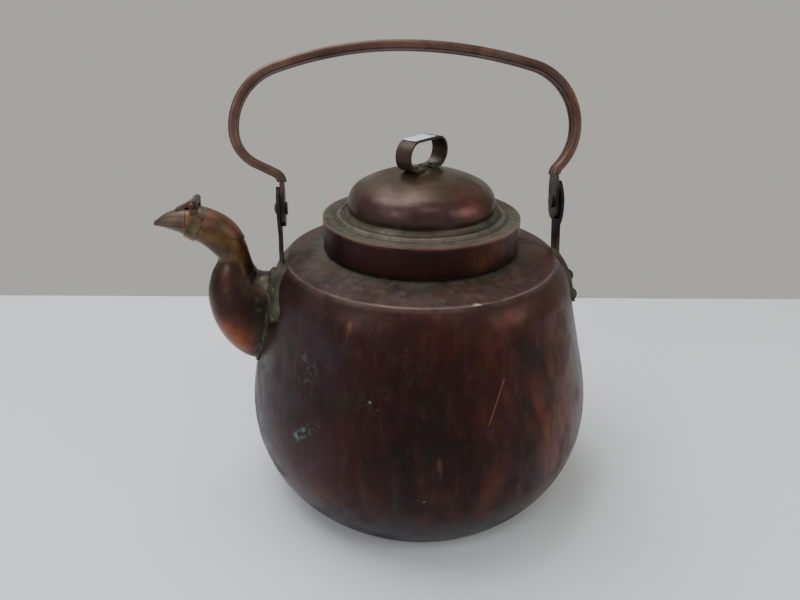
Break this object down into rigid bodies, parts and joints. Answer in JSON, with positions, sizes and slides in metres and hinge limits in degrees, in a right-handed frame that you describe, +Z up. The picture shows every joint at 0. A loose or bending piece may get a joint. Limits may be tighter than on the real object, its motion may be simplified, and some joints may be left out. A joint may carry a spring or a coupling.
{
  "type": "copper kettle",
  "caption": "Antique copper stove kettle: pear-shaped body, gooseneck spout with hinged flap, lift-off domed lid with finger loop, and swinging bail handle.",
  "frame": {"origin": "centre of the flat base, on the plane the kettle stands on", "axes": "+Z up along the body's axis of revolution; the spout points along -X; the bail's pivot axis is parallel to X and the bail leans towards +Y at rest"},
  "size_m": [0.2785, 0.2288, 0.2878],
  "materials": {
    "copper_body": "aged copper with brown patina, worn edges and green verdigris in the joints",
    "copper_base": "aged copper with brown patina, worn edges and green verdigris in the joints",
    "copper_shoulder": "aged copper with brown patina, worn edges and green verdigris in the joints",
    "copper_collar": "aged copper with brown patina, worn edges and green verdigris in the joints",
    "copper_spout": "aged copper with brown patina, worn edges and green verdigris in the joints",
    "copper_joint": "aged copper with brown patina, worn edges and green verdigris in the joints",
    "copper_spout_plate": "aged copper with brown patina, worn edges and green verdigris in the joints",
    "copper_hinge": "aged copper with brown patina, worn edges and green verdigris in the joints",
    "copper_bracket": "aged copper with brown patina, worn edges and green verdigris in the joints",
    "copper_rivet": "aged copper with brown patina, worn edges and green verdigris in the joints",
    "copper_lid": "aged copper with brown patina, worn edges and green verdigris in the joints",
    "copper_skirt": "aged copper with brown patina, worn edges and green verdigris in the joints",
    "copper_loop": "aged copper with brown patina, worn edges and green verdigris in the joints",
    "copper_bail": "aged copper with brown patina, worn edges and green verdigris in the joints",
    "copper_flap": "aged copper with brown patina, worn edges and green verdigris in the joints"
  },
  "bodies": {
    "kettle": {"body_wall": "copper_body", "base_pan": "copper_base", "shoulder_plate": "copper_shoulder", "neck_collar": "copper_collar", "spout_neck": "copper_spout", "spout_root_flange": "copper_joint", "spout_top_plate": "copper_spout_plate", "flap_hinge_band": "copper_hinge", "flap_hinge_pin": "copper_hinge", "bracket_left": "copper_bracket", "bracket_right": "copper_bracket", "bracket_rivets_left": "copper_rivet", "bracket_rivets_right": "copper_rivet", "pivot_rivet_left": "copper_rivet", "pivot_rivet_right": "copper_rivet"},
    "lid": {"lid_top": "copper_lid", "lid_skirt": "copper_skirt", "lid_loop": "copper_loop", "lid_loop_rivets": "copper_rivet"},
    "bail": {"bail_handle": "copper_bail"},
    "flap": {"spout_flap": "copper_flap"}
  },
  "joints": [
    {"name": "bail_swing", "type": "hinge", "parent": "kettle", "child": "bail", "pos_m": [0, 0, 0.1924], "axis": [1, 0, 0], "range_deg": [-83, 113]},
    {"name": "lid_lift", "type": "slide", "parent": "kettle", "child": "lid", "axis": [0, 0, 1], "range_m": [0, 0.04]},
    {"name": "flap_hinge", "type": "hinge", "parent": "kettle", "child": "flap", "pos_m": [-0.1382, 0, 0.198], "axis": [0, 1, 0], "range_deg": [0, 80]}
  ]
}
